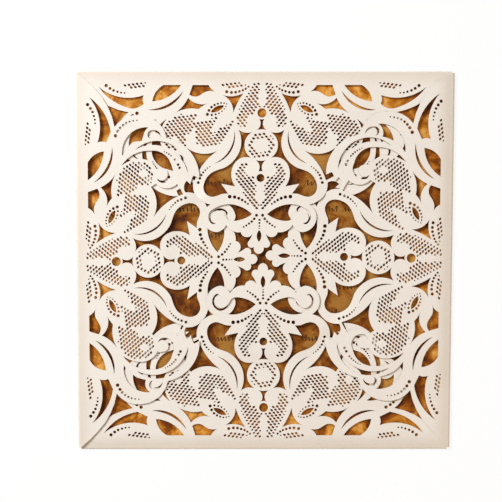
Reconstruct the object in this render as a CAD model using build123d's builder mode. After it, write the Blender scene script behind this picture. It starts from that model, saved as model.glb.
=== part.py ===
"""Square invitation card: a pierced paper wrap folded over a loose insert card.

Millimetres, +Z up. The card lies on its back, the lace side up. The origin is
in the middle of the back panel's underside, +X runs to the right flap and +Y
to the top flap.
"""
import os
from math import acos, ceil, radians

from build123d import *

# Sizes in millimetres
CARD_SIDE = 150.0
PAPER_THICKNESS = 0.3
INSERT_THICKNESS = 0.3
INSERT_CLEARANCE = 1.4
INSERT_HEADROOM = 0.6
FLAP_CLEARANCE = 0.35

# The lace's arcs are cut as chords, no further than this from the arc and with
# no more than this turn (degrees) from one to the next
CHORD_SAG = 0.12
CHORD_TURN = 34
HOLE_SIDES = 12

HALF_SIDE = CARD_SIDE / 2
LOWER_FLAP_GAP = INSERT_THICKNESS + INSERT_HEADROOM
UPPER_FLAP_GAP = LOWER_FLAP_GAP + PAPER_THICKNESS + FLAP_CLEARANCE
LOWER_FOLD_RADIUS = LOWER_FLAP_GAP / 2 + PAPER_THICKNESS
UPPER_FOLD_RADIUS = UPPER_FLAP_GAP / 2 + PAPER_THICKNESS
PANEL_HALF_WIDTH = HALF_SIDE - UPPER_FOLD_RADIUS
PANEL_HALF_DEPTH = HALF_SIDE - LOWER_FOLD_RADIUS
INSERT_SIDE = 2 * (PANEL_HALF_WIDTH - INSERT_CLEARANCE)

# The lace of one half flap, in shares of half the card's side: the first
# number runs along the fold from the flap's axis, the second from the fold
# towards the middle of the card. Corners and points passed on the way to the
# next corner take turns; None stands for a straight way.

# Outer edge from the flower's tip on the axis to the end of the scroll border
OUTLINE_SHARES = [
    (0.000, 0.978), (0.021, 0.966), (0.026, 0.940),
    (0.058, 0.932), (0.052, 0.905), (0.044, 0.885), (0.036, 0.868),
    (0.073, 0.886), (0.098, 0.860), (0.144, 0.852), (0.177, 0.820),
    (0.194, 0.844), (0.224, 0.859), (0.303, 0.783), (0.262, 0.7095),
    (0.318, 0.684), (0.352, 0.640), (0.358, 0.612), (0.358, 0.590),
    (0.388, 0.582), (0.420, 0.598), None, (0.400, 0.617),
    (0.424, 0.622), (0.446, 0.634), None, (0.432, 0.664),
    (0.567, 0.620), (0.645, 0.490), (0.718, 0.453), (0.766, 0.355),
    (0.757, 0.275), (0.707, 0.212), (0.812, 0.178), (0.905, 0.112),
]

# Windows that come in mirrored pairs, one on each side of the axis
WINDOWS_SHARES = {
    "heart_side": [
        (0.100, 0.109), (0.155, 0.126), (0.208, 0.121), (0.168, 0.156),
        (0.152, 0.214), (0.129, 0.157),
    ],
    "border_wave": [
        (0.250, 0.102), (0.272, 0.086), (0.286, 0.066), None,
        (0.370, 0.066), None, (0.387, 0.117), (0.356, 0.128),
        (0.320, 0.114), (0.287, 0.0985),
    ],
    "paisley_top": [
        (0.283, 0.162), (0.340, 0.167), (0.393, 0.134), (0.418, 0.176),
        (0.463, 0.217), (0.405, 0.194), (0.335, 0.195), (0.313, 0.177),
    ],
    "border_sail": [
        (0.432, 0.066), None, (0.524, 0.066), (0.563, 0.101),
        (0.582, 0.154), (0.502, 0.131),
    ],
    "border_slit": [
        (0.418, 0.096), (0.482, 0.158), (0.605, 0.198), (0.470, 0.166),
    ],
    "border_horn": [
        (0.628, 0.120), (0.750, 0.131), (0.867, 0.076), (0.787, 0.153),
        (0.682, 0.192), None, (0.627, 0.166), (0.633, 0.143),
    ],
    "ring_crescent": [
        (0.556, 0.252), (0.660, 0.283), (0.703, 0.394), (0.675, 0.371),
        (0.636, 0.371), (0.612, 0.308),
    ],
    "ring_curl": [
        (0.640, 0.408), (0.662, 0.388), (0.688, 0.415), (0.683, 0.442),
        (0.648, 0.462), (0.672, 0.441), (0.677, 0.415), (0.661, 0.401),
    ],
    "scroll_slit": [
        (0.587, 0.322), (0.606, 0.455), (0.461, 0.602), (0.631, 0.445),
    ],
    "paisley_hook": [
        (0.504, 0.247), (0.567, 0.322), (0.581, 0.400), (0.562, 0.475),
        (0.492, 0.519), (0.428, 0.511), (0.411, 0.473), (0.416, 0.450),
        (0.436, 0.438), (0.4235, 0.466), (0.440, 0.490), (0.470, 0.492),
        (0.486, 0.462), (0.488, 0.445), (0.483, 0.435), (0.525, 0.398),
        (0.539, 0.345), (0.530, 0.295),
    ],
    "paisley_eye": [
        (0.201, 0.176), (0.243, 0.181), (0.272, 0.212), (0.226, 0.203),
    ],
    "paisley_foot": [
        (0.214, 0.407), (0.302, 0.435), (0.391, 0.405), None,
        (0.408, 0.432), (0.382, 0.490), (0.404, 0.546), (0.380, 0.562),
        (0.349, 0.578), (0.298, 0.480),
    ],
    "arm_slit": [
        (0.144, 0.309), (0.167, 0.413), (0.250, 0.488), (0.159, 0.419),
    ],
    "heart_bay": [
        (0.047, 0.316), (0.085, 0.3215), (0.122, 0.305), (0.106, 0.372),
        (0.137, 0.462), (0.175, 0.499), (0.232, 0.523), (0.290, 0.570),
        (0.302, 0.622), (0.276, 0.662), (0.232, 0.664), (0.205, 0.653),
        (0.170, 0.651), None, (0.208, 0.597), None,
        (0.133, 0.612), (0.155, 0.556), (0.147, 0.500), (0.110, 0.460),
        (0.053, 0.456), (0.089, 0.386),
    ],
    "curl": [
        (0.040, 0.762), (0.088, 0.7275), (0.150, 0.7085), (0.200, 0.7125),
        (0.240, 0.730), (0.2725, 0.772), (0.258, 0.8105), (0.247, 0.8165),
        (0.233, 0.8095), (0.252, 0.803), (0.261, 0.782), (0.2485, 0.7535),
        (0.220, 0.742), (0.195, 0.7545), (0.1805, 0.773), (0.169, 0.7905),
        (0.148, 0.7985), (0.092, 0.790),
    ],
}

# Windows on the flap's axis, each drawn whole
AXIS_WINDOWS_SHARES = {
    "upper_glass": [
        (0.015, 0.246), (0.006, 0.271), (0.027, 0.307), (0.000, 0.303),
        (-0.027, 0.307), (-0.006, 0.271), (-0.015, 0.246), (0.000, 0.250),
    ],
    "lower_glass": [
        (0.028, 0.469), (0.006, 0.502), (0.012, 0.532), (0.000, 0.529),
        (-0.012, 0.532), (-0.006, 0.502), (-0.028, 0.469), (0.000, 0.473),
    ],
    "flower_eye": [
        (0.000, 0.848), (0.0125, 0.880), (0.000, 0.912), (-0.0125, 0.880),
    ],
}

# Round holes on the axis: place and radius
AXIS_HOLES_SHARES = [(0.215, 0.024), (0.566, 0.021)]

# The lace's width along the fold as cut, against that drawn
LACE_WIDTH_SHARE = 0.994

# How each flap came to lie when it was folded over: its turn about the card's
# middle, its clear height, then the lace's drift along the fold, its lean on
# the way inwards, its inset from the fold and its reach
FLAPS = [
    ("top", 0, LOWER_FLAP_GAP, -0.0095, -0.022, 0.0085, 0.968),
    ("left", 90, UPPER_FLAP_GAP, 0.001, 0.018, 0.0015, 0.983),
    ("bottom", 180, LOWER_FLAP_GAP, 0.0015, 0.007, 0.0085, 1.0105),
    ("right", 270, UPPER_FLAP_GAP, -0.0185, -0.020, 0.0035, 1.013),
]


def place(point_share, side, lie_shares):
    """A point of the lace on the flap that folds over the +Y edge."""
    along_share, inward_share = point_share
    drift_share, lean_share, inset_share, reach_share = lie_shares
    shift_share = drift_share + lean_share * inward_share
    x = HALF_SIDE * (LACE_WIDTH_SHARE * side * along_share + shift_share)
    y = HALF_SIDE * (1 - inset_share - inward_share * reach_share)
    return (x, y)


def arc_chords(start, way, end):
    """Points after the start along the arc that passes a point on the way."""
    if way is None:
        return [end]
    arc = Edge.make_three_point_arc(start, way, end)
    step = min(radians(CHORD_TURN), 2 * acos(1 - CHORD_SAG / arc.radius))
    count = ceil(arc.length / arc.radius / step)
    return [arc.position_at(n / count) for n in range(1, count + 1)]


def cut_run(shares, side, lie_shares):
    """Points along a run of corners and ways, from its first to its last corner."""
    points = [p and place(p, side, lie_shares) for p in shares]
    run = [Vector(*points[0])]
    for start, way, end in zip(points[0::2], points[1::2], points[2::2]):
        run += arc_chords(start, way, end)
    return run


def window(shares, side, lie_shares):
    """Cut one window out of the flap being drawn."""
    run = cut_run(shares + shares[:1], side, lie_shares)
    with BuildLine() as rim:
        Polyline(*run[:-1], close=True)
    make_face(rim.edges(), mode=Mode.SUBTRACT)


def flap_face(half_width, base, lie_shares):
    """One lace flap, its fold along the line y = base."""
    right = cut_run(OUTLINE_SHARES, 1, lie_shares)
    left = cut_run(OUTLINE_SHARES, -1, lie_shares)
    corners = [(half_width, base), (-half_width, base)]
    with BuildLine() as outline:
        Polyline(*right, *corners, *left[:0:-1], close=True)
    make_face(outline.edges())
    for shares in WINDOWS_SHARES.values():
        for side in (1, -1):
            window(shares, side, lie_shares)
    for shares in AXIS_WINDOWS_SHARES.values():
        window(shares, 1, lie_shares)
    for inward_share, radius_share in AXIS_HOLES_SHARES:
        with Locations(place((0, inward_share), 1, lie_shares)):
            RegularPolygon(HALF_SIDE * radius_share, HOLE_SIDES, mode=Mode.SUBTRACT)


# Folded lace sheet: back panel, four half-round folds and four flaps in one
with BuildPart() as lace_wrap:
    with BuildSketch():
        Rectangle(2 * PANEL_HALF_WIDTH, 2 * PANEL_HALF_DEPTH)
    extrude(amount=PAPER_THICKNESS)
    for name, turn, gap, *lie_shares in FLAPS:
        flap_plane = Plane.XY.rotated((0, 0, turn))
        fold_plane = Plane((0, 0, 0), x_dir=flap_plane.y_dir, z_dir=flap_plane.x_dir)
        half_width = PANEL_HALF_WIDTH if gap == LOWER_FLAP_GAP else PANEL_HALF_DEPTH
        inner_radius = gap / 2
        outer_radius = inner_radius + PAPER_THICKNESS
        base = HALF_SIDE - outer_radius
        with BuildSketch(flap_plane.offset(PAPER_THICKNESS + gap)):
            flap_face(half_width, base, lie_shares)
        extrude(amount=PAPER_THICKNESS)
        with BuildSketch(fold_plane):
            with Locations((base, PAPER_THICKNESS + inner_radius)):
                Circle(outer_radius)
                Circle(inner_radius, mode=Mode.SUBTRACT)
                Rectangle(
                    2 * outer_radius,
                    2 * outer_radius,
                    align=(Align.MAX, Align.CENTER),
                    mode=Mode.SUBTRACT,
                )
        extrude(amount=half_width, both=True)
lace_wrap.part.label = "lace_wrap"

# Insert card, loose on the back panel
with BuildPart() as insert_card:
    with BuildSketch(Plane.XY.offset(PAPER_THICKNESS)):
        Rectangle(INSERT_SIDE, INSERT_SIDE)
    extrude(amount=INSERT_THICKNESS)
insert_card.part.label = "insert_card"

os.makedirs("parts", exist_ok=True)
export_step(lace_wrap.part, "parts/lace_wrap.step")
export_step(insert_card.part, "parts/insert_card.step")
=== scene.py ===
"""Looks of the square invitation card: pearl lace wrap, gold-brown insert, pale studio.

Metres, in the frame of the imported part: +Z up, the lace side up, +Y to the top flap.
"""
from math import atan2, ceil, cos, pi, radians, sin

import bmesh
import bpy
from mathutils import Matrix, Vector, kdtree
from mathutils.geometry import delaunay_2d_cdt


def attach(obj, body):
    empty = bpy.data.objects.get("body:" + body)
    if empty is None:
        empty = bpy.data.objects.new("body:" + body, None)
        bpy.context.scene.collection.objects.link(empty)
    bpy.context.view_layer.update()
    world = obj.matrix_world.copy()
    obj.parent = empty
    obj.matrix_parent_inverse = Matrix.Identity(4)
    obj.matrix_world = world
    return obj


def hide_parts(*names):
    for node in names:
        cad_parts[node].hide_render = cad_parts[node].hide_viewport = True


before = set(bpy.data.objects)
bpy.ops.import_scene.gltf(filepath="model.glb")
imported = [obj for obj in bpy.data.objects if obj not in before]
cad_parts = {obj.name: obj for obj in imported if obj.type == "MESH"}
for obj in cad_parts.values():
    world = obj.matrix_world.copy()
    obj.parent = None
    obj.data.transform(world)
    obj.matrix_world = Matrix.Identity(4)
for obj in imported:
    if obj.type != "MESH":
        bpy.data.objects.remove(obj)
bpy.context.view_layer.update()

# Sizes of the part
MM = 0.001
HALF_SIDE = 75 * MM
PAPER = 0.3 * MM
LOWER_TOP = 1.5 * MM
UPPER_TOP = 2.15 * MM

# How each flap lies, as in the part: turn about the card's middle in degrees,
# whether it lies on top at the folds, then the lace's drift along the fold,
# its lean on the way inwards, its inset from the fold and its reach
FLAPS_SHARES = {
    "top": (0, False, (-0.0095, -0.022, 0.0085, 0.968)),
    "left": (90, True, (0.001, 0.018, 0.0015, 0.983)),
    "bottom": (180, False, (0.0015, 0.007, 0.0085, 1.0105)),
    "right": (270, True, (-0.0185, -0.020, 0.0035, 1.013)),
}
LACE_WIDTH_SHARE = 0.994

# The middle of the card, where the top and bottom flaps' curls are tucked over
# the other two flaps: its rim's distance from the middle, and the width of the
# ring in which the flaps change places
TUCK_SHARE = 0.502
TUCK_ROOM_SHARE = 0.099

# How far each flap dips at its fold, the run of that bend, and the rows and columns
# of points that carry it with their room to the cuts
FOLD_SAGS = {"top": 0.35 * MM, "left": 0.2 * MM, "bottom": 0.5 * MM, "right": 0.65 * MM}
FOLD_RUN = 7.0 * MM
STRIP_ROWS = 6
STRIP_COLUMNS = 30
STRIP_ROOM = 0.25 * MM

# Fine piercing of one half flap, in shares of half the card's side: along the
# fold from the flap's axis, then from the fold towards the middle of the card.
# Rows of dots: the points they pass, the first and last radius
DOT_ROWS_SHARES = {
    "heart_brow": (
        [(0.075, 0.075), (0.089, 0.086), (0.104, 0.094), (0.122, 0.100),
         (0.142, 0.105), (0.164, 0.106), (0.189, 0.102)], 0.0058, 0.0085),
    "horn_brow": (
        [(0.729, 0.108), (0.748, 0.107), (0.767, 0.102), (0.788, 0.095),
         (0.807, 0.084), (0.827, 0.069)], 0.0045, 0.009),
    "ring": (
        [(0.662, 0.217), (0.685, 0.230), (0.702, 0.243), (0.716, 0.258),
         (0.727, 0.275), (0.734, 0.293), (0.738, 0.312), (0.740, 0.332)], 0.0095, 0.004),
    "eye_upper": (
        [(0.188, 0.167), (0.202, 0.163), (0.218, 0.162), (0.235, 0.166),
         (0.252, 0.173), (0.268, 0.184), (0.281, 0.202), (0.289, 0.223)], 0.0036, 0.0084),
    "eye_lower": (
        [(0.192, 0.181), (0.200, 0.194), (0.212, 0.206), (0.228, 0.217),
         (0.245, 0.223), (0.266, 0.226)], 0.0033, 0.0062),
    "arm": (
        [(0.270, 0.504), (0.283, 0.512), (0.294, 0.523), (0.305, 0.535),
         (0.315, 0.549), (0.322, 0.567), (0.330, 0.590)], 0.0034, 0.0078),
    "inner_band": (
        [(0.487, 0.560), (0.505, 0.551), (0.519, 0.543), (0.5315, 0.534), (0.543, 0.524),
         (0.5525, 0.513), (0.561, 0.502), (0.568, 0.490), (0.574, 0.478)], 0.0078, 0.0034),
    "leaf_band": (
        [(0.0637, 0.706), (0.0782, 0.6955), (0.0946, 0.6855), (0.113, 0.676),
         (0.135, 0.6695), (0.1614, 0.667)], 0.0055, 0.010),
    "petal": (
        [(0.016, 0.768), (0.028, 0.787), (0.041, 0.802), (0.055, 0.813),
         (0.069, 0.823), (0.083, 0.831)], 0.0080, 0.0048),
}

# Dots on the axis: place and radius
AXIS_DOTS_SHARES = [(0.793, 0.0062), (0.810, 0.0054), (0.826, 0.0045), (0.839, 0.0036)]

# Mesh of slanted ovals: steps from one oval to the next along and across its
# rows, how many are tried each way from a field's given one, the oval's half
# length and half width, its long way, and the corners of ovals and dots
MESH_STEP_SHARES = ((0.0213, 0.0028), (0.0095, 0.0166))
MESH_REACH = 24
OVAL_SHARES = (0.0086, 0.0059)
OVAL_WAY_SHARES = (0.86, -0.51)
OVAL_SIDES = 10
DOT_SIDES = 12

# Fields of mesh in mirrored pairs: rim, one oval's place, and round blanks (place, radius)
MESH_FIELDS_SHARES = {
    "fold_lens": (
        [(0.086, 0.056), (0.120, 0.055), (0.160, 0.055), (0.200, 0.056), (0.224, 0.061),
         (0.206, 0.073), (0.180, 0.081), (0.150, 0.082), (0.120, 0.077), (0.098, 0.069)],
        (0.134, 0.0715), []),
    "horn_lens": (
        [(0.600, 0.057), (0.640, 0.055), (0.680, 0.055), (0.720, 0.056), (0.744, 0.061),
         (0.726, 0.073), (0.700, 0.083), (0.672, 0.085), (0.645, 0.080), (0.618, 0.070)],
        (0.673, 0.0765), []),
    "upper_heart": (
        [(0.019, 0.057), (0.042, 0.057), (0.066, 0.103), (0.092, 0.146), (0.114, 0.191),
         (0.131, 0.226), (0.134, 0.250), (0.126, 0.274), (0.106, 0.287), (0.080, 0.290),
         (0.055, 0.288), (0.030, 0.250), (0.012, 0.190), (0.012, 0.168), (0.022, 0.150)],
        (0.067, 0.173), [((0.0465, 0.261), 0.038), ((0.000, 0.215), 0.031)]),
    "paisley": (
        [(0.152, 0.247), (0.170, 0.268), (0.190, 0.288), (0.222, 0.296), (0.245, 0.320),
         (0.259, 0.341), (0.264, 0.300), (0.260, 0.272), (0.236, 0.240), (0.247, 0.238),
         (0.285, 0.262), (0.330, 0.258), (0.370, 0.264), (0.352, 0.300), (0.350, 0.332),
         (0.355, 0.352), (0.340, 0.380), (0.305, 0.399), (0.260, 0.394), (0.225, 0.380),
         (0.196, 0.348), (0.170, 0.308), (0.156, 0.280)],
        (0.283, 0.2787), []),
    "paisley_head": (
        [(0.341, 0.218), (0.372, 0.220), (0.400, 0.236), (0.415, 0.222), (0.445, 0.228),
         (0.475, 0.245), (0.500, 0.270), (0.517, 0.305), (0.524, 0.337), (0.516, 0.372),
         (0.498, 0.400), (0.466, 0.416), (0.428, 0.414), (0.404, 0.395), (0.402, 0.356),
         (0.418, 0.338), (0.392, 0.336), (0.386, 0.318), (0.366, 0.314), (0.366, 0.282),
         (0.376, 0.268), (0.352, 0.242)],
        (0.466, 0.289), [((0.462, 0.365), 0.024)]),
    "lower_heart": (
        [(0.046, 0.486), (0.060, 0.483), (0.080, 0.484), (0.100, 0.490), (0.115, 0.504),
         (0.125, 0.522), (0.130, 0.545), (0.126, 0.573), (0.118, 0.594), (0.100, 0.622),
         (0.087, 0.645), (0.076, 0.664), (0.050, 0.696), (0.022, 0.732), (0.010, 0.738),
         (0.003, 0.732), (0.007, 0.714), (0.015, 0.699), (0.020, 0.679), (0.026, 0.665),
         (0.026, 0.606), (0.024, 0.590), (0.032, 0.555), (0.060, 0.553)],
        (0.0587, 0.5965), [((0.050, 0.5235), 0.0385), ((0.000, 0.566), 0.0355)]),
}

# The medallion on the axis, with a ring of wider mesh drawn whole: middle, inner and
# outer radius, one oval's place, the steps to the next, and the half whose slant it
# takes (-1 is the mirrored one)
MEDALLION_SHARES = ((0.000, 0.390), 0.0425, 0.0690)
MEDALLION_OVAL_SHARES = (-0.0138, 0.3275)
MEDALLION_STEP_SHARES = ((0.0226, 0.0033), (0.0100, 0.0181))
MEDALLION_SIDE = -1

# The thinnest web left between two cuts, the room in which the ovals at a
# field's rim come out smaller, how far outside the rim they still stand, and
# the smallest of them
WEB_SHARE = 0.0032
RIM_ROOM_SHARE = 0.004
RIM_SLACK_SHARE = 0.003
RIM_SIZE_SHARE = 0.55

# Pen strokes on the insert: the first row's place, the step to the next, each
# row's reach to the left and right of the middle, the lengths of the words and
# the gap between them, the width and height of a hump of the stroke, how much
# higher each hump in turn is, how many of these rises each word skips, the slant,
# the stroke's width going up and down, its steps to a hump, the corners of its
# section, and its under and upper face
INK_FIRST_ROW = 30.5 * MM
INK_ROW_STEP = 10.3 * MM
INK_REACHES = [24 * MM, 35 * MM, 31 * MM, 20 * MM, 36 * MM, 29 * MM, 33 * MM]
INK_WORDS = [11 * MM, 7 * MM, 15 * MM, 5 * MM, 13 * MM, 9 * MM]
INK_GAP = 2.2 * MM
INK_HUMP = 1.5 * MM
INK_HEIGHT = 1.6 * MM
INK_RISES_SHARES = [1.5, 1.0, 0.9, 1.1, 1.6, 1.0, 0.85, 1.0, 1.1, 1.4, 0.9]
INK_RISE_SKIP = 3
INK_SLANT = 0.36
INK_WIDTHS = (0.22 * MM, 0.50 * MM)
INK_STEPS = 10
INK_CORNERS = 4
INK_LEVELS = (0.598 * MM, 0.608 * MM)

# Turn (radians) above which two chords meet in a corner, the lesser one beside a
# straight stretch, how much longer than its neighbour such a stretch is, the turn
# from one step of a rounded stretch to the next, and the steps round a fold
CORNER_TURN = 0.68
STRAIGHT_TURN = 0.4
STRAIGHT_RATIO = 2.2
ROUND_STEP = radians(9)
FOLD_STEPS = 16

# Edges of the sheet that turn by more than this (radians) stay sharp
SHARP_TURN = radians(35)

# Points closer than this are one, faces this near a level lie on it, and points this
# near a fold's line lie on that
JOIN_ROOM = 0.0005 * MM
LEVEL_ROOM = 0.005 * MM
FOLD_ROOM = 0.01 * MM

# Step between the points that stand for an edge where the room to it is measured
EDGE_STEP = 0.2 * MM

# Kinds of face on the sheet, by their material, and a square's corners
PAPER_MARK = 0
CUT_MARK = 1
SQUARE = [(1, 1), (-1, 1), (-1, -1), (1, -1)]

# The triangulation's kind of output: triangles inside a rim, less its holes
INSIDE_WITH_HOLES = 2


def sides(loop):
    """The edges of a closed loop, as pairs."""
    return zip(loop, loop[1:] + loop[:1])


def turn_between(a, b):
    """Signed turn from one direction to the next."""
    return atan2(a.x * b.y - a.y * b.x, a.dot(b))


def rounded(loop):
    """A closed loop of chords, its stretches between corners drawn as curves."""
    count = len(loop)
    chords = [b - a for a, b in sides(loop)]
    ways = []
    for i in range(count):
        before, after = chords[i - 1], chords[i]
        longer, shorter = sorted((before.length, after.length), reverse=True)
        limit = STRAIGHT_TURN if longer > STRAIGHT_RATIO * shorter else CORNER_TURN
        if abs(turn_between(before, after)) > limit:
            ways.append(None)
            continue
        way = before.normalized() * after.length + after.normalized() * before.length
        ways.append(way.normalized())
    points = []
    for i, chord in enumerate(chords):
        start, end = ways[i], ways[(i + 1) % count]
        along = chord.normalized()
        if start is None and end is None:
            start = end = along
        elif start is None:
            start = 2 * end.dot(along) * along - end
        elif end is None:
            end = 2 * start.dot(along) * along - start
        steps = max(1, ceil(abs(turn_between(start, end)) / ROUND_STEP))
        for n in range(steps):
            t = n / steps
            lift = t * (1 - t) ** 2 * start - t * t * (1 - t) * end
            points.append(loop[i] + chord * (3 * t * t - 2 * t ** 3) + lift * chord.length)
    return points


def flap_loops(solid, top, to_flap):
    """Closed loops round one flap's upper face and its windows, in the flap's own plane."""
    patch = set()
    for face in solid.faces:
        level = all(abs(v.co.z - top) < LEVEL_ROOM for v in face.verts)
        if level and (to_flap @ face.calc_center_median()).y > 0:
            patch.add(face)
    following = {}
    for face in patch:
        for corner in face.loops:
            if not any(other in patch for other in corner.edge.link_faces if other != face):
                following[corner.vert] = corner.link_loop_next.vert
    loops = []
    while following:
        first, spot = following.popitem()
        loop = [to_flap @ first.co]
        while spot != first:
            loop.append(to_flap @ spot.co)
            spot = following.pop(spot)
        loops.append([p.to_2d() for p in loop])
    return loops


def flap_point(share, side, lie_shares):
    """A point of the lace in the flap's own plane, its fold towards +Y."""
    drift_share, lean_share, inset_share, reach_share = lie_shares
    x = HALF_SIDE * (LACE_WIDTH_SHARE * side * share[0] + drift_share + lean_share * share[1])
    y = HALF_SIDE * (1 - inset_share - share[1] * reach_share)
    return Vector((x, y))


def flap_top(spot, on_top, base, sag):
    """Height of a flap's upper face at a place on the card."""
    inward = (TUCK_SHARE - spot.length / HALF_SIDE) / TUCK_ROOM_SHARE
    t = min(1, max(0, inward + 0.5))
    start, end = (UPPER_TOP, LOWER_TOP) if on_top else (LOWER_TOP, UPPER_TOP)
    near_fold = max(0, 1 - (base - spot.y) / FOLD_RUN)
    return start + (end - start) * t * t * (3 - 2 * t) - sag * near_fold ** 2


def oval_loop(centre, half_length, half_width, way, count):
    """A closed oval round a point."""
    across = Vector((-way.y, way.x))
    angles = [2 * pi * n / count for n in range(count)]
    return [centre + way * half_length * cos(a) + across * half_width * sin(a) for a in angles]


def crossings(place, loop):
    """How many edges of a closed loop lie across the way from a place towards +X."""
    count = 0
    for a, b in sides(loop):
        if (a.y > place.y) != (b.y > place.y):
            count += place.x < a.x + (b.x - a.x) * (place.y - a.y) / (b.y - a.y)
    return count


def rim_distance(place, rim):
    """Distance from a place to a closed rim, less than zero outside it."""
    distances = []
    for a, b in sides(rim):
        edge = b - a
        t = min(1, max(0, (place - a).dot(edge) / edge.length_squared))
        distances.append((place - a - edge * t).length)
    return min(distances) if crossings(place, rim) % 2 else -min(distances)


def rim_size(room):
    """Size of an oval, as a share of the full one, by its distance from the rim."""
    inward = (room + RIM_SLACK_SHARE) / (RIM_ROOM_SHARE + RIM_SLACK_SHARE)
    return min(1, RIM_SIZE_SHARE + (1 - RIM_SIZE_SHARE) * inward)


def mesh_ovals(anchor, steps, room_at):
    """Places and sizes of a mesh that passes one oval's place, by the room to its rim."""
    along, across = (Vector(step) for step in steps)
    reach = range(-MESH_REACH, MESH_REACH + 1)
    ovals = []
    for row in reach:
        for column in reach:
            place = Vector(anchor) + along * column + across * row
            room = room_at(place)
            if room > -RIM_SLACK_SHARE:
                ovals.append((place, rim_size(room)))
    return ovals


def field_ovals(rim_shares, anchor, blanks):
    """Places and sizes of the mesh inside a rim, clear of round blanks."""
    rim = [Vector(p) for p in rim_shares]

    def room_at(place):
        rooms = [(place - Vector(centre)).length - radius for centre, radius in blanks]
        return min([rim_distance(place, rim)] + rooms)

    return mesh_ovals(anchor, MESH_STEP_SHARES, room_at)


def medallion_ovals():
    """Places and sizes of the mesh in the medallion's ring."""
    centre, inner, outer = MEDALLION_SHARES

    def room_at(place):
        distance = (place - Vector(centre)).length
        return min(distance - inner, outer - distance)

    return mesh_ovals(MEDALLION_OVAL_SHARES, MEDALLION_STEP_SHARES, room_at)


def dot_row(points, first_radius, last_radius):
    """Places and radii of a row of dots whose size changes evenly."""
    growth = (last_radius - first_radius) / (len(points) - 1)
    return [(p, first_radius + growth * n) for n, p in enumerate(points)]


HALF_DOTS = [dot for row in DOT_ROWS_SHARES.values() for dot in dot_row(*row)]
HALF_OVALS = [oval for field in MESH_FIELDS_SHARES.values() for oval in field_ovals(*field)]
RING_OVALS = medallion_ovals()


def fine_cuts(lie_shares):
    """Loops of one flap's dots and mesh, with the radius that each takes up."""
    cuts = []

    def dot(place, side, radius_share):
        centre = flap_point(place, side, lie_shares)
        radius = radius_share * HALF_SIDE
        loop = oval_loop(centre, radius, radius, Vector((1, 0)), DOT_SIDES)
        cuts.append((centre, radius, loop))

    def oval(place, side, size):
        centre = flap_point(place, side, lie_shares)
        half_length, half_width = (size * s * HALF_SIDE for s in OVAL_SHARES)
        way = Vector((side * OVAL_WAY_SHARES[0], -OVAL_WAY_SHARES[1])).normalized()
        loop = oval_loop(centre, half_length, half_width, way, OVAL_SIDES)
        cuts.append((centre, half_width, loop))

    for side in (1, -1):
        for place, radius_share in HALF_DOTS:
            dot(place, side, radius_share)
        for place, size in HALF_OVALS:
            oval(place, side, size)
    for inward, radius_share in AXIS_DOTS_SHARES:
        dot((0, inward), 1, radius_share)
    for place, size in RING_OVALS:
        oval(place, MEDALLION_SIDE, size)
    return cuts


def dense(loop):
    """Points along a closed loop, no further apart than a step."""
    for a, b in sides(loop):
        count = max(1, ceil((b - a).length / EDGE_STEP))
        for n in range(count):
            yield a + (b - a) * n / count


def edge_tree(loops):
    """Places along some loops, for finding how near they come."""
    spots = [p for loop in loops for p in dense(loop)]
    tree = kdtree.KDTree(len(spots))
    for n, p in enumerate(spots):
        tree.insert((p.x, p.y, 0), n)
    tree.balance()
    return tree


def distance_to(tree, place):
    """Distance from a place to the nearest of a tree's places."""
    return tree.find((place.x, place.y, 0))[2]


def clear_cuts(cuts, loops):
    """The fine cuts that keep a web to the large windows and to each other."""
    tree = edge_tree(loops)
    web = WEB_SHARE * HALF_SIDE
    kept = []
    for centre, radius, loop in cuts:
        to_window = min(distance_to(tree, p) for p in loop)
        crowded = any((centre - other).length < radius + taken + web for other, taken, _ in kept)
        if to_window > web and not crowded:
            kept.append((centre, radius, loop))
    return [loop for _, _, loop in kept]


def strip_points(loops, base, half_width):
    """Places on the paper beside a fold that carry the sheet's bend."""
    near = [loop for loop in loops if max(p.y for p in loop) > base - FOLD_RUN]
    tree = edge_tree(near)
    places = []
    for row in range(1, STRIP_ROWS):
        y = base - FOLD_RUN * row / STRIP_ROWS
        for column in range(-STRIP_COLUMNS, STRIP_COLUMNS + 1):
            place = Vector((half_width * column / STRIP_COLUMNS, y))
            on_paper = sum(crossings(place, loop) for loop in near) % 2
            if on_paper and distance_to(tree, place) > STRIP_ROOM:
                places.append(place)
    return places


def new_piece(name, spots, faces, materials):
    """A mesh object in the scene."""
    mesh = bpy.data.meshes.new(name)
    mesh.from_pydata(spots, [], faces)
    for material in materials:
        mesh.materials.append(material)
    piece = bpy.data.objects.new(name, mesh)
    bpy.context.scene.collection.objects.link(piece)
    return piece


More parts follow.
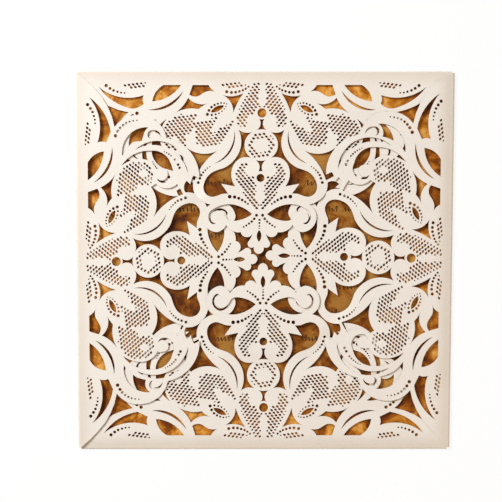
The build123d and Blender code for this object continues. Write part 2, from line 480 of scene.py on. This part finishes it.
class Sheet:
    """Vertices and faces of the paper sheet, faces marked as paper or cut edge."""

    def __init__(self):
        self.spots = []
        self.faces = []
        self.marks = []

    def add(self, spots, faces, mark):
        start = len(self.spots)
        self.spots += spots
        self.faces += [[start + i for i in face] for face in faces]
        self.marks += [mark] * len(faces)

    def add_flap(self, loops, base, half_width, on_top, sag, to_card):
        """A pierced flap, open along its fold."""
        points, rings = [], []
        for loop in loops:
            rings.append(list(range(len(points), len(points) + len(loop))))
            points += loop
        millimetres = [p / MM for p in points + strip_points(loops, base, half_width)]
        spots, _, faces, *_ = delaunay_2d_cdt(
            millimetres, [], rings, INSIDE_WITH_HOLES, JOIN_ROOM / MM)
        flat = [p * MM for p in spots]

        def placed(plan, drop):
            tops = [flap_top(p, on_top, base, sag) for p in plan]
            return [to_card @ Vector((p.x, p.y, top - drop)) for p, top in zip(plan, tops)]

        self.add(placed(flat, 0), faces, PAPER_MARK)
        self.add(placed(flat, PAPER), [face[::-1] for face in faces], PAPER_MARK)
        below = len(points)
        on_fold = [abs(p.y - base) < FOLD_ROOM for p in points]
        edges = [edge for ring in rings for edge in sides(ring)]
        walls = [(a, b, b + below, a + below) for a, b in edges if not (on_fold[a] and on_fold[b])]
        self.add(placed(points, 0) + placed(points, PAPER), walls, CUT_MARK)

    def add_fold(self, half_width, base, top, sag, to_card):
        """A half-round fold from a flap's base down to the back panel."""
        angles = [pi / 2 - pi * n / FOLD_STEPS for n in range(FOLD_STEPS + 1)]
        reach, rise = top / 2, (top - sag) / 2
        spots = []
        for inset in (0, PAPER):
            for x in (half_width, -half_width):
                for a in angles:
                    y = base + (reach - inset) * cos(a)
                    spots.append(to_card @ Vector((x, y, rise + (rise - inset) * sin(a))))
        row = len(angles)
        faces, ends = [], []
        for n in range(FOLD_STEPS):
            faces.append((n, n + 1, row + n + 1, row + n))
            faces.append((2 * row + n, 3 * row + n, 3 * row + n + 1, 2 * row + n + 1))
            ends.append((n, 2 * row + n, 2 * row + n + 1, n + 1))
            ends.append((row + n, row + n + 1, 3 * row + n + 1, 3 * row + n))
        self.add(spots, faces, PAPER_MARK)
        self.add(spots, ends, CUT_MARK)

    def add_panel(self, half_width, half_depth):
        """The plain back panel."""
        for z in (0, PAPER):
            spots = [Vector((x * half_width, y * half_depth, z)) for x, y in SQUARE]
            self.add(spots, [(0, 1, 2, 3) if z else (3, 2, 1, 0)], PAPER_MARK)

    def to_object(self, name, materials):
        piece = new_piece(name, self.spots, self.faces, materials)
        piece.data.polygons.foreach_set("material_index", self.marks)
        return piece


def joined_mesh(mesh):
    """A working copy of a mesh, its patches joined along their shared edges."""
    solid = bmesh.new()
    solid.from_mesh(mesh)
    bmesh.ops.remove_doubles(solid, verts=solid.verts, dist=JOIN_ROOM)
    solid.normal_update()
    return solid


def join_seams(piece):
    """Join the sheet's patches along their shared edges and face them outwards."""
    solid = joined_mesh(piece.data)
    bmesh.ops.recalc_face_normals(solid, faces=solid.faces)
    solid.to_mesh(piece.data)
    solid.free()
    piece.data.polygons.foreach_set("use_smooth", [True] * len(piece.data.polygons))
    piece.data.set_sharp_from_angle(angle=SHARP_TURN)


def lace_sheet(materials):
    """The whole folded sheet, with its fine piercing."""
    solid = joined_mesh(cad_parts["lace_wrap"].data)
    sheet = Sheet()
    panel = {}
    for name, (turn, on_top, lie_shares) in FLAPS_SHARES.items():
        to_card = Matrix.Rotation(radians(turn), 4, "Z")
        top = UPPER_TOP if on_top else LOWER_TOP
        loops = flap_loops(solid, top, to_card.inverted())
        base = max(p.y for loop in loops for p in loop)
        half_width = max(p.x for loop in loops for p in loop)
        panel[on_top] = base
        loops = [rounded(loop) for loop in loops]
        loops += clear_cuts(fine_cuts(lie_shares), loops)
        sag = FOLD_SAGS[name]
        sheet.add_flap(loops, base, half_width, on_top, sag, to_card)
        sheet.add_fold(half_width, base, top, sag, to_card)
    sheet.add_panel(panel[True], panel[False])
    solid.free()
    piece = sheet.to_object("lace_sheet", materials)
    join_seams(piece)
    return piece


def ink_word(start, length, first_hump):
    """Spots of one pen stroke, a section's corners at each step along it."""
    humps = max(1, round(length / INK_HUMP))
    thin, thick = INK_WIDTHS
    path = []
    for n in range(humps * INK_STEPS + 1):
        hump, part = divmod(n / INK_STEPS, 1)
        rise = INK_RISES_SHARES[(first_hump + int(hump)) % len(INK_RISES_SHARES)]
        y = INK_HEIGHT * rise * sin(pi * part) ** 2
        x = length * n / (humps * INK_STEPS) + INK_SLANT * y
        width = thin + (thick - thin) * max(0, -sin(2 * pi * part))
        path.append((start + Vector((x, y)), width))
    low, high = INK_LEVELS
    spots = []
    for n, (spot, width) in enumerate(path):
        way = path[min(n + 1, len(path) - 1)][0] - path[max(n - 1, 0)][0]
        across = Vector((-way.y, way.x)).normalized() * width / 2
        for side, z in ((1, low), (1, high), (-1, high), (-1, low)):
            spots.append((*(spot + side * across), z))
    return spots


def ink_lines(material):
    """Rows of pen strokes on the insert, in words without letters."""
    spots, faces = [], []
    word = 0
    for row, reach in enumerate(INK_REACHES):
        x = -reach
        while reach - x > INK_HUMP:
            length = min(INK_WORDS[word % len(INK_WORDS)], reach - x)
            start = Vector((x, INK_FIRST_ROW - row * INK_ROW_STEP))
            first = len(spots)
            spots += ink_word(start, length, INK_RISE_SKIP * word)
            last = len(spots) - INK_CORNERS
            for n in range(first, last, INK_CORNERS):
                ahead = n + INK_CORNERS
                for k in range(INK_CORNERS):
                    following = (k + 1) % INK_CORNERS
                    faces.append((n + k, n + following, ahead + following, ahead + k))
            faces.append((first + 3, first + 2, first + 1, first))
            faces.append((last, last + 1, last + 2, last + 3))
            x += length + INK_GAP
            word += 1
    return new_piece("ink_lines", spots, faces, [material])


# Finishes. Noise is (lumps to a millimetre, detail), with (roughness, distortion) where
# they matter. Tones are (position, colour) stops. A zone is where a shade starts and ends,
# from the card's middle lines. A bump is (strength, height)

WHITE = (1, 1, 1)
PEARL_CLOUDS = (0.06, 3)
PEARL_TONES = [(0.3, (0.842, 0.775, 0.706)), (0.7, (0.882, 0.820, 0.756))]
PEARL_GRAIN = (4.0, 2)
# Fine grain of the card, its whiter specks painted glints that stand for the pearl's shimmer
PEARL_GRAIN_AND_PAINTED_GLINTS = [(0.35, (0.94, 0.93, 0.92)), (0.65, WHITE)]
# Painted shade: the paper's colour darkens over its outer strip towards the folds, where the bent
# paper falls in shade
PEARL_PAINTED_SHADE_ZONE = (0.90 * HALF_SIDE, HALF_SIDE)
PEARL_PAINTED_FOLD_SHADE = [(0, WHITE), (1, (0.90, 0.85, 0.80))]
PEARL_GLOSS = [(0.3, (0.55,) * 3), (0.7, (0.36,) * 3)]
PEARL_FIBRE = (2.2, 4)
PEARL_BUMP = (0.12, 0.05 * MM)
PEARL_COAT = {"Sheen Weight": 0.1, "Coat Weight": 0.2, "Coat Roughness": 0.4}

CUT_SCORCH = (0.8, 3)
CUT_TONES = [(0.3, (0.52, 0.36, 0.22)), (0.7, (0.68, 0.53, 0.38))]
CUT_COAT = {"Roughness": 0.8}

GOLD_CLOUDS = (0.075, 9, 0.66, 0.6)
GOLD_TONES = [
    (0.39, (0.16, 0.036, 0.001)), (0.455, (0.38, 0.112, 0.006)),
    (0.51, (0.62, 0.222, 0.018)), (0.58, (0.92, 0.480, 0.112))]
GOLD_ZONE = (0.40 * HALF_SIDE, 0.97 * HALF_SIDE)
GOLD_MIDDLE_SHADE = [(0, (0.44, 0.38, 0.31)), (1, WHITE)]
GOLD_GRAIN = (2.5, 3)
GOLD_FLAKE = [(0.35, (0.80, 0.76, 0.70)), (0.65, WHITE)]
GOLD_GLOSS = [(0.3, (0.60,) * 3), (0.7, (0.42,) * 3)]
GOLD_BUMP = (0.15, 0.08 * MM)
GOLD_COAT = {"Specular IOR Level": 0.15}

INK_FLOW = (0.5, 3)
INK_TONES = [(0.35, (0.022, 0.009, 0.002)), (0.65, (0.060, 0.025, 0.004))]
INK_COAT = {"Roughness": 0.6, "Specular IOR Level": 0.15}


class Finish:
    """A material in the making, on the card's own coordinates."""

    def __init__(self, name):
        self.material = bpy.data.materials.new(name)
        self.material.use_nodes = True
        self.nodes = self.material.node_tree.nodes
        self.links = self.material.node_tree.links
        self.shader = self.nodes["Principled BSDF"]

    def place(self):
        return self.nodes.new("ShaderNodeTexCoord").outputs["Object"]

    def noise(self, scale, detail, roughness=0.5, distortion=0.0):
        """Noise, its scale in lumps to a millimetre."""
        node = self.nodes.new("ShaderNodeTexNoise")
        node.inputs["Scale"].default_value = scale / MM
        node.inputs["Detail"].default_value = detail
        node.inputs["Roughness"].default_value = roughness
        node.inputs["Distortion"].default_value = distortion
        self.links.new(self.place(), node.inputs["Vector"])
        return node.outputs["Fac"]

    def ramp(self, value, stops):
        """Colours over a value: (position, colour) stops."""
        node = self.nodes.new("ShaderNodeValToRGB")
        elements = node.color_ramp.elements
        while len(elements) < len(stops):
            elements.new(0.5)
        for element, (position, colour) in zip(elements, stops):
            element.position = position
            element.color = (*colour, 1)
        self.links.new(value, node.inputs["Fac"])
        return node.outputs["Color"]

    def product(self, a, b):
        """Two colours multiplied."""
        node = self.nodes.new("ShaderNodeMix")
        node.data_type = "RGBA"
        node.blend_type = "MULTIPLY"
        node.inputs["Factor"].default_value = 1
        self.links.new(a, node.inputs["A"])
        self.links.new(b, node.inputs["B"])
        return node.outputs["Result"]

    def nearness(self, start, end):
        """From 0 within a distance of the card's middle lines to 1 at another."""
        split = self.nodes.new("ShaderNodeSeparateXYZ")
        self.links.new(self.place(), split.inputs["Vector"])
        larger = self.nodes.new("ShaderNodeMath")
        larger.operation = "MAXIMUM"
        for socket, axis in zip(larger.inputs, "XY"):
            size = self.nodes.new("ShaderNodeMath")
            size.operation = "ABSOLUTE"
            self.links.new(split.outputs[axis], size.inputs[0])
            self.links.new(size.outputs["Value"], socket)
        spread = self.nodes.new("ShaderNodeMapRange")
        spread.interpolation_type = "SMOOTHSTEP"
        spread.inputs["From Min"].default_value = start
        spread.inputs["From Max"].default_value = end
        self.links.new(larger.outputs["Value"], spread.inputs["Value"])
        return spread.outputs["Result"]

    def bump(self, value, strength, height):
        node = self.nodes.new("ShaderNodeBump")
        node.inputs["Strength"].default_value = strength
        node.inputs["Distance"].default_value = height
        self.links.new(value, node.inputs["Height"])
        return node.outputs["Normal"]

    def feed(self, socket, source):
        self.links.new(source, self.shader.inputs[socket])

    def hold(self, values):
        """Even values on the surface's sockets."""
        for socket, value in values.items():
            self.shader.inputs[socket].default_value = value


def pearl_card():
    """Ivory card with a pearl coat and a faint fibre, a fine grain whose lighter specks are
    painted glints of the pearl, and painted shade deeper towards the folds.
    """
    finish = Finish("pearl_card")
    tone = finish.ramp(finish.noise(*PEARL_CLOUDS), PEARL_TONES)
    grain = finish.noise(*PEARL_GRAIN)
    # Grain with painted glints, multiplied into the tone
    colour = finish.product(tone, finish.ramp(grain, PEARL_GRAIN_AND_PAINTED_GLINTS))
    # Painted shade, darker towards the folds
    shade = finish.ramp(finish.nearness(*PEARL_PAINTED_SHADE_ZONE), PEARL_PAINTED_FOLD_SHADE)
    finish.feed("Base Color", finish.product(colour, shade))
    finish.feed("Roughness", finish.ramp(grain, PEARL_GLOSS))
    finish.feed("Normal", finish.bump(finish.noise(*PEARL_FIBRE), *PEARL_BUMP))
    finish.hold(PEARL_COAT)
    return finish.material


def cut_edge():
    """The laser's cut, a little browned."""
    finish = Finish("cut_edge")
    finish.feed("Base Color", finish.ramp(finish.noise(*CUT_SCORCH), CUT_TONES))
    finish.hold(CUT_COAT)
    return finish.material


def gold_card():
    """Rust-gold card, mottled like old leather, paler towards its edges."""
    finish = Finish("gold_card")
    clouds = finish.noise(*GOLD_CLOUDS)
    shade = finish.ramp(finish.nearness(*GOLD_ZONE), GOLD_MIDDLE_SHADE)
    colour = finish.product(finish.ramp(clouds, GOLD_TONES), shade)
    grain = finish.noise(*GOLD_GRAIN)
    finish.feed("Base Color", finish.product(colour, finish.ramp(grain, GOLD_FLAKE)))
    finish.feed("Roughness", finish.ramp(grain, GOLD_GLOSS))
    finish.feed("Normal", finish.bump(clouds, *GOLD_BUMP))
    finish.hold(GOLD_COAT)
    return finish.material


def brown_ink():
    """Dark brown ink, a little uneven."""
    finish = Finish("brown_ink")
    finish.feed("Base Color", finish.ramp(finish.noise(*INK_FLOW), INK_TONES))
    finish.hold(INK_COAT)
    return finish.material


def dress(piece, material):
    """One finish over a whole piece."""
    piece.data.materials.clear()
    piece.data.materials.append(material)


# The object

lace = lace_sheet([pearl_card(), cut_edge()])
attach(lace, "root")
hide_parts("lace_wrap")
dress(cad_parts["insert_card"], gold_card())
ink = ink_lines(brown_ink())
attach(ink, "root")

# Studio: floor, light and camera. Places in metres, powers in watts, turns in degrees

FLOOR_HALF = 2.0
FLOOR_DROP = 0.05 * MM
FLOOR_GLOW = 0.85
FLOOR_COAT = {"Base Color": (1, 1, 1, 1), "Roughness": 1, "Specular IOR Level": 0}
AMBIENT = 0.25
AMBIENT_TONE = (1.0, 0.90, 0.80)
KEY_POWER = 9.7
KEY_TONE = (0.95, 1.0, 1.03)
KEY_SIDE = 0.3
KEY_PLACE = (-0.60, 0.42, 0.60)
FILL_POWER = 1.1
FILL_TONE = (1.0, 0.80, 0.58)
FILL_SIDE = 0.4
FILL_PLACE = (0.44, -0.30, 0.40)
CAMERA_LENS = 62.92
CAMERA_SENSOR = 36
CAMERA_CLIP = 0.01
CAMERA_PLACE = (-13.46 * MM, -22.91 * MM, 353.56 * MM)
CAMERA_TURN = (-3.497, -0.04, -0.025)
CAMERA_SHIFT = (0.0392, 0.2444)


def seen(nodes, links):
    """1 for rays that show the studio to the camera, straight or by a reflection."""
    path = nodes.new("ShaderNodeLightPath")
    value = path.outputs["Is Camera Ray"]
    for kind in ("Is Glossy Ray", "Is Transmission Ray"):
        larger = nodes.new("ShaderNodeMath")
        larger.operation = "MAXIMUM"
        links.new(value, larger.inputs[0])
        links.new(path.outputs[kind], larger.inputs[1])
        value = larger.outputs["Value"]
    return value


def blended(nodes, links, factor, a, b, output):
    """Two shaders mixed into a surface output."""
    blend = nodes.new("ShaderNodeMixShader")
    for socket, source in zip(blend.inputs, (factor, a, b)):
        links.new(source, socket)
    links.new(blend.outputs["Shader"], nodes[output].inputs["Surface"])


def floor():
    """A plain floor that takes the card's shadow and shows almost white."""
    finish = Finish("studio_floor")
    finish.hold(FLOOR_COAT)
    nodes, links = finish.nodes, finish.links
    glow = nodes.new("ShaderNodeEmission")
    share = nodes.new("ShaderNodeMath")
    share.operation = "MULTIPLY"
    share.inputs[1].default_value = FLOOR_GLOW
    links.new(seen(nodes, links), share.inputs[0])
    blended(nodes, links, share.outputs["Value"], finish.shader.outputs["BSDF"],
            glow.outputs["Emission"], "Material Output")
    spots = [(x * FLOOR_HALF, y * FLOOR_HALF, -FLOOR_DROP) for x, y in SQUARE]
    piece = new_piece("floor", spots, [(0, 1, 2, 3)], [finish.material])


def softbox(name, power, tone, side, place):
    """A square lamp that faces the card."""
    lamp = bpy.data.lights.new(name, "AREA")
    lamp.energy = power
    lamp.color = tone
    lamp.size = side
    box = bpy.data.objects.new(name, lamp)
    box.location = place
    box.rotation_euler = Vector(place).to_track_quat("Z", "Y").to_euler()
    bpy.context.scene.collection.objects.link(box)


def light():
    """Two softboxes, and a dim world that shows white behind the floor."""
    world = bpy.data.worlds.new("studio")
    bpy.context.scene.world = world
    world.use_nodes = True
    nodes, links = world.node_tree.nodes, world.node_tree.links
    ambient = nodes["Background"]
    ambient.inputs["Color"].default_value = (*AMBIENT_TONE, 1)
    ambient.inputs["Strength"].default_value = AMBIENT
    backdrop = nodes.new("ShaderNodeBackground")
    backdrop.inputs["Color"].default_value = (1, 1, 1, 1)
    blended(nodes, links, seen(nodes, links), ambient.outputs["Background"],
            backdrop.outputs["Background"], "World Output")
    softbox("key", KEY_POWER, KEY_TONE, KEY_SIDE, KEY_PLACE)
    softbox("fill", FILL_POWER, FILL_TONE, FILL_SIDE, FILL_PLACE)


def camera():
    """The photo's view. The photo is a crop, so the lens is shifted."""
    data = bpy.data.cameras.new("camera")
    data.lens = CAMERA_LENS
    data.sensor_width = CAMERA_SENSOR
    data.shift_x, data.shift_y = CAMERA_SHIFT
    data.clip_start = CAMERA_CLIP
    view = bpy.data.objects.new("camera", data)
    view.location = CAMERA_PLACE
    view.rotation_euler = [radians(a) for a in CAMERA_TURN]
    bpy.context.scene.collection.objects.link(view)
    bpy.context.scene.camera = view


floor()
light()
camera()
bpy.context.scene.view_settings.view_transform = "Standard"
